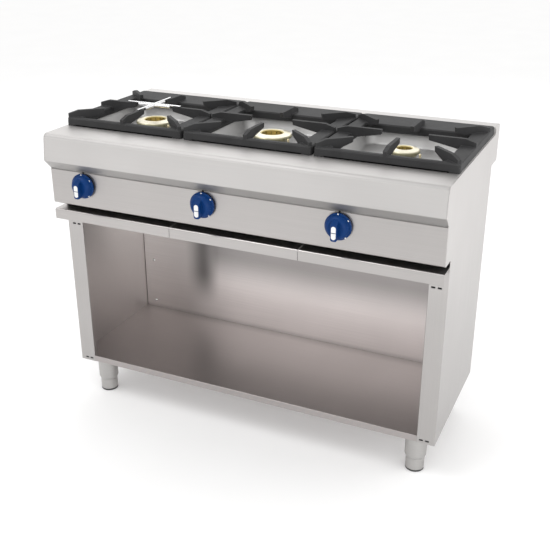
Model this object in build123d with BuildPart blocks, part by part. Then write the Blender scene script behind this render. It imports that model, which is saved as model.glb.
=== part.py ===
from build123d import *
import os
from math import cos, hypot, radians, sin

# Modular gas range: three burners on an open cabinet stand. Millimetres, +Z up, front towards -Y.
# Depths are measured from the nose, the foremost edge of the worktop, towards the back.

# Overall sizes, sheet and fits
WIDTH = 1100.0
DEPTH = 550.0
KNOB_PROUD = 13.0
SHEET = 1.5
SEAM = 0.5
REST_GAP = 0.2
STOP_GAP = 0.3
RUN_FIT = 0.05

# Heights, stacked from the floor up
LEG_H = 112.0
FLOOR_RISE = 19.0
CABINET_H = 474.0
TRAY_FRONT_H = 29.0
FINGER_SLOT = 17.0
PANEL_H = 101.0
CHAMFER_H = 26.0
BAND_H = 72.0
LEDGE_RISE = 19.0
SKIRT_H = 101.0

# Depths and bends
PANEL_SETBACK = 25.0
PANEL_FLANGE = 35.0
PANEL_BEND = 6.0
POST_SETBACK = 76.0
BAND_LEAN = 9.0
NOSE_RADIUS = 13.0
BEND_RADIUS = 3.0
FOLD_RADIUS = 2.0
LEDGE_DEPTH = 50.0
REAR_STEP = 63.0
BACK_SETBACK = 40.0
TOP_LIP = 14.5

# Cabinet
POST_WIDTH = 48.0
POST_LIP = 15.0
POST_DROP = 7.0
REAR_FLANGE = 14.0
BOTTOM_FLANGE = 20.0
SLOT_LENGTH = 11.0
SLOT_WIDTH = 5.0
SLOT_INSET = 12.0
SLOT_SPACING = 16.0
SLOT_DROP = 30.0
SLOT_RISE = 9.0
BACK_SIDE_GAP = 0.4
BACK_TOP_DROP = 26.0
SHELF_HOLE_R = 3.0
SHELF_HOLE_INSET = 36.4
SHELF_HOLE_RISE = 24.0
SHELF_HOLE_PITCH = 146.0
INLET_HOLE_GAP = 2.0
WING_LAP = 10.0

# Legs
LEG_INSET_X = 59.0
LEG_INSET_Y = 47.0
SLEEVE_R = 29.0
SLEEVE_DROP = 74.0
SLEEVE_TAPER = 9.0
SLEEVE_NOSE_R = 25.5
FOOT_R = 25.0
FOOT_EDGE = 1.0
STEM_R = 20.0
STEM_L = 66.0
STEM_EDGE = 2.0
STEM_CLEAR = 4.0

# Wells and burners
BURNERS = 3
BURNER_REACH = 166.0
WELL_W = 296.0
WELL_D = 280.0
WELL_DEPTH = 36.0
WELL_DRAFT = 12.0
WELL_CORNER = 30.0
WELL_FLOOR_RADIUS = 8.0
WELL_FLANGE = 12.0
NECK_GAP = 1.0
CROWN_R = (53.5, 53.5, 40.0)
CROWN_HOLE_R = (28.5, 28.5, 19.0)
CROWN_RISE = 1.0
CROWN_H = 20.0
CROWN_FALL = 4.0
CROWN_ROUND = 3.0
CROWN_EDGE = 4.0
CROWN_LAND = 5.0
CROWN_SPIGOT = 8.0
SPIGOT_GAP = 0.3
CUP_STEP = 8.5
CUP_WALL = 6.5
CUP_FLANGE_STEP = 4.0
CUP_FLANGE_T = 4.0
CORE_STEP = 8.0
CORE_EDGE = 3.0
NECK_RATIO = 0.56
NECK_WALL = 4.0
BOWL_DEPTH = 40.0
BOWL_EDGE = 6.0
BOWL_FLOOR = 5.0
PORTS = 24
PORT_W = 2.0
PORT_H = 4.0
PORT_DEPTH = 3.0
INNER_SLOTS = 12
INNER_SLOT_W = 3.0
INNER_SLOT_H = 10.0
VENTURI_R = 13.0
VENTURI_BORE_R = 8.5
VENTURI_FLANGE = 4.0
VENTURI_FLANGE_T = 8.0
VENTURI_DROP = 25.0
INJECTOR_L = 24.0
INJECTOR_HEX_L = 14.4
INJECTOR_R = 8.0
NOZZLE_R = 4.0
NOZZLE_REACH = 4.0
PROBE_R = 3.0
PROBE_NUT_R = 6.0
PROBE_NUT_H = 6.0
PROBE_TAIL = 16.0
PROBE_H = 31.0
PROBE_TIP = 2.0
PROBE_ANGLE = -25.0
PROBE_GAP = 12.0
PROBE_FIT = 0.3

# Gas train
TAP_OFFSET = 77.0
KNOB_RISE = 63.0
MANIFOLD_R = 10.65
MANIFOLD_BOSS = 3.0
BOSS_STEP = 2.0
MANIFOLD_END = 31.0
INLET_INSET = 60.0
INLET_LEAD = 40.0
INLET_BEND = 30.0
INLET_PROUD = 30.0
INLET_THREAD_R = 10.475
INLET_THREAD_L = 20.0
INLET_BORE_R = 7.5
INLET_BORE_L = 25.0
INLET_HEX_R = 14.65
INLET_HEX_L = 8.0
TAP_R = 16.0
TAP_NECK_L = 5.5
TAP_L = 46.0
TAP_NECK_R = 11.0
TAP_WALL = 2.0
TAP_OUTLET_AT = 23.0
TAP_OUTLET_H = 18.0
TAP_OUTLET_R = 8.0
TUBE_R = 5.0
TUBE_RUN = 73.0
TUBE_LEAD = 35.0
TUBE_RISE_BEND = 20.0
TUBE_SIDE_BEND = 25.0
PLUG_R = 10.0
PLUG_START = 8.0
PLUG_END_WALL = 2.0
CHAMBER_R = 7.3
CHAMBER_L = 22.0
SPINDLE_R = 4.0
SPINDLE_IN = 15.0
SPINDLE_FLAT = 1.0
SPINDLE_FLAT_L = 14.0
SPINDLE_GAP = 1.0
COLLAR_R = 7.0
COLLAR_T = 2.0
SPINDLE_TAIL = 24.0
SPRING_R = 6.4
SPRING_BORE_R = 4.8
SPRING_FIT = 0.1
PANEL_HOLE_R = 7.0

# Knobs
SKIRT_R = 34.0
SKIRT_T = 6.0
SKIRT_EDGE = 2.0
KNOB_GAP = 4.0
DOME_R = 31.0
DOME_TOP_R = 20.0
DOME_H = 14.0
DOME_BULGE = 2.5
BAR_W = 17.0
BAR_CORNER = 5.5
BAR_LOW = 28.0
BAR_HIGH = 22.0
BAR_FLAT = 13.0
BAR_EDGE = 1.5
BAR_SINK = 2.0
INSERT_L = 33.0
INSERT_W = 12.0
INSERT_Z = -6.5
INSERT_PROUD = 0.6
INSERT_SUNK = 1.0
INSERT_SPLIT = 2.0
INSERT_FIT = 0.05
SHAFT_FIT = 0.02

# Pan supports and the reducer cross
GRATE_GAP = 6.67
GRATE_REAR_GAP = 2.0
GRATE_D = 389.0
GRATE_CORNER = 8.0
OPENING_CORNER = 10.0
RIM_RISE = 23.0
RIM_T = 20.5
RIM_FRONT = 16.0
RIM_SIDE = 40.0
RIM_REAR = 103.0
RIM_EDGE = 3.0
REAR_SEAT = 46.0
PAD_SIZE = 22.0
PAD_INSET = 1.0
PAD_CORNER = 3.0
FINGER_T = 10.0
FINGER_RISE = 17.5
FINGER_END_RISE = 9.5
FINGER_RAMP = 27.0
FINGER_TIP_H = 13.0
FINGER_TIP_SLANT = 2.0
FINGER_ROOT = 6.0
CORNER_ROOT = 58.0
CORNER_IN = 3.75
TIP_MID = 60.0
TIP_CORNER = (104.0, 95.0)
POCKET_WALL = 8.0
POCKET_END = 16.0
POCKET_DEPTH = 10.0
CROSS_ARM = 86.0
CROSS_END_GAP = 9.0
CROSS_R = 4.5
CROSS_END_R = 2.3
CROSS_DROP = 4.5

# Drip trays and their rack
TRAY_SHEET = 1.2
TRAY_SEAM = 1.3
TRAY_BEND = 5.0
HEM_H = 15.0
PAN_SIDE_GAP = 9.3
PAN_POST_GAP = 4.0
PAN_RISE = 6.0
PAN_WALL = 18.0
PAN_CORNER = 6.0
PAN_END_GAP = 5.0
RACK_SHEET = 1.7
RACK_DROP = 24.0
RACK_FRONT_GAP = 2.5
RACK_REAR_GAP = 0.3
RUNNER_HALF = 20.0
GUIDE_HALF = 4.0
GUIDE_H = 12.0
GUIDE_LEAD = 10.0
SHELF_IN = 9.0
SHELF_NOTCH = 1.0

# Levels and planes that follow from the sizes above
FLOOR_Z = LEG_H + FLOOR_RISE
TRAY_Z = LEG_H + CABINET_H
TRAY_TOP_Z = TRAY_Z + TRAY_FRONT_H
POST_TOP_Z = TRAY_TOP_Z - POST_DROP
PANEL_Z = TRAY_TOP_Z + FINGER_SLOT
PANEL_TOP_Z = PANEL_Z + PANEL_H
NOSE_Z = PANEL_TOP_Z + CHAMFER_H
WORKTOP_Z = NOSE_Z + BAND_H
LEDGE_Z = WORKTOP_Z + LEDGE_RISE
SKIRT_Z = LEDGE_Z - SKIRT_H
LEDGE_Y = DEPTH - LEDGE_DEPTH
CABINET_REAR = DEPTH - REAR_STEP
REAR_Y = CABINET_REAR - SHEET
BACK_Y = CABINET_REAR - BACK_SETBACK
BACK_TOP_Z = TRAY_Z - BACK_TOP_DROP
HALF = WIDTH / 2
INSIDE = HALF - SHEET
POST_X = HALF - POST_WIDTH
PITCH = WIDTH / BURNERS
NOSE = KNOB_PROUD - (DEPTH + KNOB_PROUD) / 2
SLEEVE_Z = LEG_H - SLEEVE_DROP
STEM_TOP = SLEEVE_Z + STEM_L
GRATE_Y1 = LEDGE_Y - GRATE_REAR_GAP
GRATE_Y0 = GRATE_Y1 - GRATE_D
BURNER_Y = GRATE_Y0 + BURNER_REACH
FLANGE_Z = WORKTOP_Z - SHEET
WELL_FLOOR_Z = WORKTOP_Z - WELL_DEPTH
CROWN_TOP_Z = WORKTOP_Z + CROWN_RISE
CUP_TOP_Z = CROWN_TOP_Z - CROWN_H
VENTURI_Z = WELL_FLOOR_Z - VENTURI_DROP
BOWL_Z = WELL_FLOOR_Z - BOWL_DEPTH
SLOT_X = POST_X + SLOT_INSET
SLOT_HEIGHTS = (TRAY_Z - SLOT_DROP, LEG_H + SLOT_RISE)
BACK_X = INSIDE - BACK_SIDE_GAP
SHELF_HOLE_X = HALF - SHELF_HOLE_INSET
SHELF_HOLE_Z = FLOOR_Z + SHELF_HOLE_RISE
KNOB_Z = PANEL_Z + KNOB_RISE
TAP_Y0 = PANEL_SETBACK + SHEET + TAP_NECK_L
TAP_Y1 = TAP_Y0 + TAP_L
TAP_OUTLET_Y = TAP_Y0 + TAP_OUTLET_AT
INJECTOR_Y = TAP_OUTLET_Y + TUBE_RUN
VENTURI_Y = INJECTOR_Y + INJECTOR_L
PLUG_Y0 = TAP_Y0 + PLUG_START
PLUG_Y1 = TAP_Y1 - TAP_WALL - REST_GAP
CHAMBER_END = PLUG_Y0 + REST_GAP + CHAMBER_L
COLLAR_Y = PLUG_Y0 + STOP_GAP
SPRING_Y = COLLAR_Y + COLLAR_T + SPRING_FIT
MANIFOLD_Y = TAP_Y1 + MANIFOLD_BOSS + MANIFOLD_R
INLET_X = HALF - INLET_INSET
MANIFOLD_RIGHT = INLET_X - INLET_LEAD
INLET_END_Y = CABINET_REAR + INLET_PROUD
THREAD_Y = INLET_END_Y - INLET_THREAD_L
KNOB_BACK = PANEL_SETBACK - KNOB_GAP
DOME_TOP = SKIRT_T + DOME_H
BAR_FRONT = KNOB_BACK + KNOB_PROUD - INSERT_PROUD
RIM_TOP_Z = WORKTOP_Z + RIM_RISE
RIM_UNDER_Z = RIM_TOP_Z - RIM_T
ROOT_Z = RIM_UNDER_Z + POCKET_DEPTH + RIM_EDGE / 3
FINGER_TOP_Z = RIM_TOP_Z + FINGER_RISE
FINGER_END_Z = RIM_TOP_Z + FINGER_END_RISE
GRATE_HALF = (PITCH - GRATE_GAP) / 2
GRATE_BACK = GRATE_Y1 - RIM_REAR
CROSS_MIDDLE = TIP_MID - CROSS_END_GAP
GRIP_BACK = POST_SETBACK - STOP_GAP
PAN_HALF = PITCH / 2 - PAN_SIDE_GAP
PAN_OUTER = POST_X - PAN_POST_GAP
PAN_FLOOR_Z = TRAY_Z + PAN_RISE
RACK_FRONT_Y = POST_SETBACK + SHEET + RACK_FRONT_GAP
RACK_REAR_Y = BACK_Y - RACK_REAR_GAP - RACK_SHEET
RACK_END_Y = RACK_REAR_Y + RACK_SHEET
RACK_TOP_Z = PAN_FLOOR_Z - STOP_GAP
RACK_Z = RACK_TOP_Z - RACK_SHEET
PAN_END_Y = RACK_REAR_Y - PAN_END_GAP
NAMES = ("left", "middle", "right")


def row(depth):
    """Y of a depth behind the nose."""
    return NOSE + depth


def burner_x(i):
    return (i - (BURNERS - 1) / 2) * PITCH


def knob_x(i):
    return burner_x(i) - TAP_OFFSET


def chamfer_z(depth):
    """Height of the worktop's lower chamfer at a depth."""
    return NOSE_Z - depth * CHAMFER_H / PANEL_SETBACK


def right_offset(points, amount):
    """The corners of an open path moved to its right by a distance."""
    lines = []
    for (ax, ay), (bx, by) in zip(points, points[1:]):
        length = hypot(bx - ax, by - ay)
        dx = (bx - ax) / length
        dy = (by - ay) / length
        lines.append((ax + dy * amount, ay - dx * amount, dx, dy))
    moved = [(lines[0][0], lines[0][1])]
    for (px, py, dx, dy), (qx, qy, ex, ey) in zip(lines, lines[1:]):
        cross = dx * ey - dy * ex
        t = ((qx - px) * ey - (qy - py) * ex) / cross
        moved.append((px + dx * t, py + dy * t))
    px, py, dx, dy = lines[-1]
    length = hypot(points[-1][0] - points[-2][0], points[-1][1] - points[-2][1])
    moved.append((px + dx * length, py + dy * length))
    return moved


def inner_radii(points, radii, sheet):
    """Bend radii on the right-hand face of a sheet whose left-hand face has the given radii."""
    result = []
    for (ax, ay), (bx, by), (cx, cy), radius in zip(points, points[1:], points[2:], radii):
        turn = (bx - ax) * (cy - by) - (by - ay) * (cx - bx)
        result.append(radius + sheet if turn > 0 else max(radius - sheet, sheet / 4))
    return result


def bent(plane, points, radii, sheet=SHEET):
    """Section of a bent sheet: a path along its outer face with the thickness to its right."""
    inner = right_offset(points, sheet)
    with BuildSketch(plane) as section:
        with BuildLine():
            FilletPolyline(*points, radius=radii)
            FilletPolyline(*inner, radius=inner_radii(points, radii, sheet))
            Line(points[0], inner[0])
            Line(points[-1], inner[-1])
        make_face()
    return section.sketch


def oblong(plane, u0, u1, v0, v1):
    """A rectangle on a plane between two corners."""
    with BuildSketch(plane) as face:
        with Locations(((u0 + u1) / 2, (v0 + v1) / 2)):
            Rectangle(u1 - u0, v1 - v0)
    return face.sketch


def disc(x, z, radius, depth):
    """A disc across the depth, facing the back."""
    with BuildSketch(Plane(origin=(x, row(depth), z), x_dir=(1, 0, 0), z_dir=(0, 1, 0))) as face:
        Circle(radius)
    return face.sketch


def half_section(x, depth, outline):
    """Half of an upright turned body's section, from (radius, height) points."""
    with BuildSketch(Plane(origin=(x, row(depth), 0), x_dir=(1, 0, 0), z_dir=(0, -1, 0))) as face:
        with BuildLine():
            Polyline(*outline, close=True)
        make_face()
    return face.sketch


def upright(x, depth):
    return Axis((x, row(depth), 0), (0, 0, 1))


def tub(x, top_z, width, depth, height, corner, floor_radius):
    """A drafted tub form, from a rounded rectangle down to a smaller one with a rounded floor edge."""
    with BuildPart() as form:
        with BuildSketch(Plane.XY.offset(top_z)):
            with Locations((x, row(BURNER_Y))):
                RectangleRounded(width, depth, corner)
        with BuildSketch(Plane.XY.offset(top_z - height)):
            with Locations((x, row(BURNER_Y))):
                RectangleRounded(width - 2 * WELL_DRAFT, depth - 2 * WELL_DRAFT, corner - WELL_DRAFT / 3)
        loft()
        fillet(form.faces().sort_by(Axis.Z)[0].edges(), floor_radius)
    return form.part


def finger(x, start, tip, root):
    """Side view of a pan support's finger, ramped at its outer end and undercut towards its tip."""
    run = hypot(tip[0] - start[0], tip[1] - start[1])
    heading = ((tip[0] - start[0]) / run, (tip[1] - start[1]) / run, 0)
    sideways = (heading[1], -heading[0], 0)
    origin = (x + start[0], row(BURNER_Y) + start[1], 0)
    with BuildSketch(Plane(origin=origin, x_dir=heading, z_dir=sideways)) as view:
        with BuildLine():
            Polyline((0, ROOT_Z), (0, FINGER_END_Z), (FINGER_RAMP, FINGER_TOP_Z), (run, FINGER_TOP_Z),
                     (run - FINGER_TIP_SLANT, FINGER_TOP_Z - FINGER_TIP_H), (root, ROOT_Z), close=True)
        make_face()
    return view.sketch


os.makedirs("parts", exist_ok=True)

# Worktop: one folded sheet from the lip behind the control panel to the return under the rear skirt
lip_y = PANEL_SETBACK + SHEET
worktop_path = [
    (row(lip_y), PANEL_TOP_Z - TOP_LIP),
    (row(lip_y), chamfer_z(lip_y)),
    (row(0), NOSE_Z),
    (row(BAND_LEAN), WORKTOP_Z),
    (row(LEDGE_Y), WORKTOP_Z),
    (row(LEDGE_Y), LEDGE_Z),
    (row(DEPTH), LEDGE_Z),
    (row(DEPTH), SKIRT_Z),
    (row(REAR_Y - SHEET), SKIRT_Z),
]
worktop_bends = [FOLD_RADIUS, BEND_RADIUS, NOSE_RADIUS] + [BEND_RADIUS] * 4
with BuildPart() as worktop:
    extrude(bent(Plane.YZ.offset(-INSIDE), worktop_path, worktop_bends), amount=2 * INSIDE)
    with BuildSketch(Plane.XY.offset(WORKTOP_Z + SHEET)):
        with Locations(*[(burner_x(i), row(BURNER_Y)) for i in range(BURNERS)]):
            RectangleRounded(WELL_W, WELL_D, WELL_CORNER)
    extrude(amount=-3 * SHEET, mode=Mode.SUBTRACT)
worktop.part.label = "worktop"
export_step(worktop.part, "parts/worktop.step")

# Wells: drafted pressed tubs whose flanges lie against the underside of the worktop
well_depth = FLANGE_Z - WELL_FLOOR_Z
for i, side in enumerate(NAMES):
    x = burner_x(i)
    probe_d = CROWN_R[i] + PROBE_GAP
    probe = (x + probe_d * cos(radians(PROBE_ANGLE)), row(BURNER_Y) + probe_d * sin(radians(PROBE_ANGLE)))
    outer_form = tub(x, FLANGE_Z, WELL_W + 2 * SHEET, WELL_D + 2 * SHEET, well_depth + SHEET,
                     WELL_CORNER + SHEET, WELL_FLOOR_RADIUS + SHEET)
    inner_form = tub(x, FLANGE_Z, WELL_W, WELL_D, well_depth, WELL_CORNER, WELL_FLOOR_RADIUS)
    with BuildPart() as well:
        with BuildSketch(Plane.XY.offset(FLANGE_Z)):
            with Locations((x, row(BURNER_Y))):
                RectangleRounded(WELL_W + 2 * WELL_FLANGE, WELL_D + 2 * WELL_FLANGE, WELL_CORNER)
        extrude(amount=-SHEET)
        add(outer_form)
        add(inner_form, mode=Mode.SUBTRACT)
        with BuildSketch(Plane.XY.offset(WELL_FLOOR_Z + SHEET)):
            with Locations((x, row(BURNER_Y))):
                Circle(CROWN_R[i] * NECK_RATIO + NECK_GAP)
            with Locations(probe):
                Circle(PROBE_R + PROBE_FIT)
        extrude(amount=-3 * SHEET, mode=Mode.SUBTRACT)
    well.part.label = f"{side}_well"
    export_step(well.part, f"parts/{side}_well.step")

# Control panel: upright face with a flange under it and a hole for each spindle
panel_path = [
    (row(PANEL_SETBACK + PANEL_FLANGE), PANEL_Z),
    (row(PANEL_SETBACK), PANEL_Z),
    (row(PANEL_SETBACK), chamfer_z(lip_y) - SHEET),
]
with BuildPart() as control_panel:
    extrude(bent(Plane.YZ.offset(-INSIDE), panel_path, [PANEL_BEND]), amount=2 * INSIDE)
    for i in range(BURNERS):
        extrude(disc(knob_x(i), KNOB_Z, PANEL_HOLE_R, PANEL_SETBACK - SHEET), amount=3 * SHEET,
                mode=Mode.SUBTRACT)
control_panel.part.label = "control_panel"
export_step(control_panel.part, "parts/control_panel.step")

# Side panels: the whole outline in one sheet, with the folded front post, a rear and a bottom flange
side_outline = [
    (row(POST_SETBACK), LEG_H),
    (row(POST_SETBACK), PANEL_Z),
    (row(PANEL_SETBACK), PANEL_Z),
    (row(PANEL_SETBACK), PANEL_TOP_Z),
    (row(0), NOSE_Z),
    (row(BAND_LEAN), WORKTOP_Z),
    (row(LEDGE_Y), WORKTOP_Z),
    (row(LEDGE_Y), LEDGE_Z),
    (row(DEPTH), LEDGE_Z),
    (row(DEPTH), SKIRT_Z),
    (row(CABINET_REAR), SKIRT_Z),
    (row(CABINET_REAR), LEG_H),
]
side_bends = [0, 0, PANEL_BEND, FOLD_RADIUS, BEND_RADIUS, NOSE_RADIUS] + [BEND_RADIUS] * 4 + [0, 0]
post_path = [
    (INSIDE, row(POST_SETBACK)),
    (POST_X, row(POST_SETBACK)),
    (POST_X, row(POST_SETBACK + POST_LIP)),
]
post_back = POST_SETBACK + SHEET
bottom = Plane.XY.offset(LEG_H)
with BuildPart() as right_side:
    with BuildSketch(Plane.YZ.offset(INSIDE)):
        with BuildLine():
            FilletPolyline(*side_outline, radius=side_bends, close=True)
        make_face()
    extrude(amount=SHEET)
    extrude(bent(Plane.XY.offset(FLOOR_Z), post_path, [FOLD_RADIUS]), amount=POST_TOP_Z - FLOOR_Z)
    extrude(oblong(bottom, POST_X, INSIDE, row(POST_SETBACK), row(post_back)), amount=FLOOR_RISE)
    extrude(oblong(bottom, HALF - REAR_FLANGE, INSIDE, row(REAR_Y), row(CABINET_REAR)),
            amount=SKIRT_Z - LEG_H)
    extrude(oblong(bottom, HALF - BOTTOM_FLANGE, INSIDE, row(POST_SETBACK), row(CABINET_REAR)), amount=SHEET)
    with BuildSketch(Plane.XZ.offset(-row(POST_SETBACK - SHEET))):
        for z in SLOT_HEIGHTS:
            with Locations((SLOT_X, z), (SLOT_X + SLOT_SPACING, z)):
                SlotOverall(SLOT_LENGTH, SLOT_WIDTH)
    extrude(amount=-3 * SHEET, mode=Mode.SUBTRACT)
right_side.part.label = "right_side_panel"
export_step(right_side.part, "parts/right_side_panel.step")
with BuildPart() as left_side:
    mirror(right_side.part, about=Plane.YZ)
left_side.part.label = "left_side_panel"
export_step(left_side.part, "parts/left_side_panel.step")

# Rear panel behind the gas train, with a shelf over the cabinet's back and the hole for the inlet
rear_path = [(row(REAR_Y), SKIRT_Z), (row(REAR_Y), BACK_TOP_Z), (row(BACK_Y), BACK_TOP_Z)]
with BuildPart() as hob_rear:
    extrude(bent(Plane.YZ.offset(-INSIDE), rear_path, [FOLD_RADIUS]), amount=2 * INSIDE)
    extrude(disc(INLET_X, KNOB_Z, MANIFOLD_R + INLET_HOLE_GAP, REAR_Y - 2 * SHEET), amount=4 * SHEET,
            mode=Mode.SUBTRACT)
hob_rear.part.label = "hob_rear_panel"
export_step(hob_rear.part, "parts/hob_rear_panel.step")

# Back of the cabinet, standing on the floor, its edges returned to the side panels' rear flanges,
# with holes for shelf pegs
back_path = [(BACK_X, row(REAR_Y)), (BACK_X, row(BACK_Y)), (-BACK_X, row(BACK_Y)), (-BACK_X, row(REAR_Y))]
with BuildPart() as back_panel:
    extrude(bent(Plane.XY.offset(FLOOR_Z), back_path, [FOLD_RADIUS] * 2), amount=BACK_TOP_Z - FLOOR_Z)
    for x in (-SHELF_HOLE_X, SHELF_HOLE_X):
        for z in (SHELF_HOLE_Z, SHELF_HOLE_Z + SHELF_HOLE_PITCH):
            extrude(disc(x, z, SHELF_HOLE_R, BACK_Y - SHEET), amount=3 * SHEET, mode=Mode.SUBTRACT)
back_panel.part.label = "back_panel"
export_step(back_panel.part, "parts/back_panel.step")

# Cabinet floor: front lip between the posts, wings behind them, rear edge turned down
floor_path = [
    (row(POST_SETBACK + POST_LIP), LEG_H),
    (row(POST_SETBACK), LEG_H),
    (row(POST_SETBACK), FLOOR_Z),
    (row(REAR_Y), FLOOR_Z),
    (row(REAR_Y), LEG_H),
]
floor_half = POST_X - SEAM
wing_y = post_back + SEAM
under_floor = Plane.XY.offset(FLOOR_Z - SHEET)
with BuildPart() as cabinet_floor:
    extrude(bent(Plane.YZ.offset(-floor_half), floor_path, [FOLD_RADIUS] * 3), amount=2 * floor_half)
    extrude(oblong(under_floor, floor_half - WING_LAP, INSIDE, row(wing_y), row(REAR_Y)), amount=SHEET)
    extrude(oblong(under_floor, -INSIDE, WING_LAP - floor_half, row(wing_y), row(REAR_Y)), amount=SHEET)
cabinet_floor.part.label = "cabinet_floor"
export_step(cabinet_floor.part, "parts/cabinet_floor.step")

# Legs: fixed sleeves under the floor, each with a foot that screws out
stem_bore = STEM_R + RUN_FIT
sleeve_top = FLOOR_Z - SHEET
bore_top = STEM_TOP + STEM_CLEAR
foot_top = SLEEVE_Z - REST_GAP
for end, leg_y in (("front", POST_SETBACK + LEG_INSET_Y), ("rear", CABINET_REAR - LEG_INSET_Y)):
    for side, leg_x in (("left", LEG_INSET_X - HALF), ("right", HALF - LEG_INSET_X)):
        with BuildPart() as sleeve:
            revolve(half_section(leg_x, leg_y, [
                (stem_bore, SLEEVE_Z), (SLEEVE_NOSE_R, SLEEVE_Z), (SLEEVE_R, SLEEVE_Z + SLEEVE_TAPER),
                (SLEEVE_R, sleeve_top), (0, sleeve_top), (0, bore_top), (stem_bore, bore_top),
            ]), axis=upright(leg_x, leg_y))
        sleeve.part.label = f"{end}_{side}_leg_sleeve"
        export_step(sleeve.part, f"parts/{end}_{side}_leg_sleeve.step")
        with BuildPart() as foot:
            revolve(half_section(leg_x, leg_y, [
                (0, 0), (FOOT_R - FOOT_EDGE, 0), (FOOT_R, FOOT_EDGE), (FOOT_R, foot_top - FOOT_EDGE),
                (FOOT_R - FOOT_EDGE, foot_top), (STEM_R, foot_top), (STEM_R, STEM_TOP - STEM_EDGE),
                (STEM_R - STEM_EDGE, STEM_TOP), (0, STEM_TOP),
            ]), axis=upright(leg_x, leg_y))
        foot.part.label = f"{end}_{side}_foot"
        export_step(foot.part, f"parts/{end}_{side}_foot.step")

# Gas manifold with a flat boss for each tap
manifold_left = knob_x(0) - MANIFOLD_END
with BuildPart() as manifold:
    with BuildSketch(Plane.YZ.offset(manifold_left)):
        with Locations((row(MANIFOLD_Y), KNOB_Z)):
            Circle(MANIFOLD_R)
    extrude(amount=MANIFOLD_RIGHT - manifold_left)
    for i in range(BURNERS):
        extrude(disc(knob_x(i), KNOB_Z, MANIFOLD_R - BOSS_STEP, TAP_Y1), amount=MANIFOLD_Y - TAP_Y1)
manifold.part.label = "gas_manifold"
export_step(manifold.part, "parts/gas_manifold.step")

# Inlet pipe: round a bend to the back, ending in a hexagon and a bored stub
inlet_start = (MANIFOLD_RIGHT, row(MANIFOLD_Y), KNOB_Z)
inlet_corner = (INLET_X, row(MANIFOLD_Y), KNOB_Z)
inlet_end = (INLET_X, row(THREAD_Y), KNOB_Z)
with BuildPart() as inlet:
    with BuildLine() as inlet_run:
        FilletPolyline(inlet_start, inlet_corner, inlet_end, radius=INLET_BEND)
    with BuildSketch(Plane(origin=inlet_start, z_dir=(1, 0, 0))):
        Circle(MANIFOLD_R)
    sweep(path=inlet_run.wires()[0])
    with BuildSketch(Plane(origin=inlet_end, x_dir=(1, 0, 0), z_dir=(0, -1, 0))):
        RegularPolygon(INLET_HEX_R, 6)
    extrude(amount=INLET_HEX_L)
    extrude(disc(INLET_X, KNOB_Z, INLET_THREAD_R, THREAD_Y - SHEET), amount=INLET_THREAD_L + SHEET)
    extrude(disc(INLET_X, KNOB_Z, INLET_BORE_R, INLET_END_Y), amount=-INLET_BORE_L, mode=Mode.SUBTRACT)
inlet.part.label = "inlet_pipe"
export_step(inlet.part, "parts/inlet_pipe.step")

# Taps: a body behind the panel, the plug that turns in it, the spindle and its return spring
spindle_y = KNOB_BACK - SPINDLE_IN
for i, side in enumerate(NAMES):
    x = knob_x(i)
    with BuildPart() as tap:
        extrude(disc(x, KNOB_Z, TAP_R, TAP_Y0), amount=TAP_L)
        extrude(disc(x, KNOB_Z, TAP_NECK_R, PANEL_SETBACK + SHEET), amount=TAP_NECK_L)
        with BuildSketch(Plane.XY.offset(KNOB_Z + PLUG_R + SHEET)):
            with Locations((x, row(TAP_OUTLET_Y))):
                Circle(TAP_OUTLET_R)
        extrude(amount=TAP_OUTLET_H - PLUG_R - SHEET)
        extrude(disc(x, KNOB_Z, PLUG_R + RUN_FIT, PLUG_Y0), amount=TAP_Y1 - TAP_WALL - PLUG_Y0,
                mode=Mode.SUBTRACT)
        extrude(disc(x, KNOB_Z, SPINDLE_R + SPINDLE_GAP, PANEL_SETBACK),
                amount=PLUG_Y0 + SHEET - PANEL_SETBACK, mode=Mode.SUBTRACT)
    tap.part.label = f"{side}_gas_tap"
    export_step(tap.part, f"parts/{side}_gas_tap.step")

    with BuildPart() as plug:
        extrude(disc(x, KNOB_Z, PLUG_R, PLUG_Y0 + REST_GAP), amount=PLUG_Y1 - PLUG_Y0 - REST_GAP)
        extrude(disc(x, KNOB_Z, CHAMBER_R, PLUG_Y0), amount=CHAMBER_END - PLUG_Y0, mode=Mode.SUBTRACT)
        extrude(disc(x, KNOB_Z, SPINDLE_R + RUN_FIT, PLUG_Y0), amount=PLUG_Y1 - PLUG_END_WALL - PLUG_Y0,
                mode=Mode.SUBTRACT)
    plug.part.label = f"{side}_tap_plug"
    export_step(plug.part, f"parts/{side}_tap_plug.step")

    with BuildPart() as spindle:
        extrude(disc(x, KNOB_Z, SPINDLE_R, spindle_y), amount=COLLAR_Y + SPINDLE_TAIL - spindle_y)
        extrude(disc(x, KNOB_Z, COLLAR_R, COLLAR_Y), amount=COLLAR_T)
        with BuildSketch(Plane.XZ.offset(-row(spindle_y))):
            with Locations((x, KNOB_Z + SPINDLE_R)):
                Rectangle(2 * SPINDLE_R, 2 * SPINDLE_FLAT)
        extrude(amount=-SPINDLE_FLAT_L, mode=Mode.SUBTRACT)
    spindle.part.label = f"{side}_spindle"
    export_step(spindle.part, f"parts/{side}_spindle.step")

    with BuildPart() as spring:
        extrude(disc(x, KNOB_Z, SPRING_R, SPRING_Y), amount=CHAMBER_END - SPRING_FIT - SPRING_Y)
        extrude(disc(x, KNOB_Z, SPRING_BORE_R, SPRING_Y), amount=CHAMBER_END - SPRING_Y, mode=Mode.SUBTRACT)
    spring.part.label = f"{side}_tap_spring"
    export_step(spring.part, f"parts/{side}_tap_spring.step")

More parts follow.
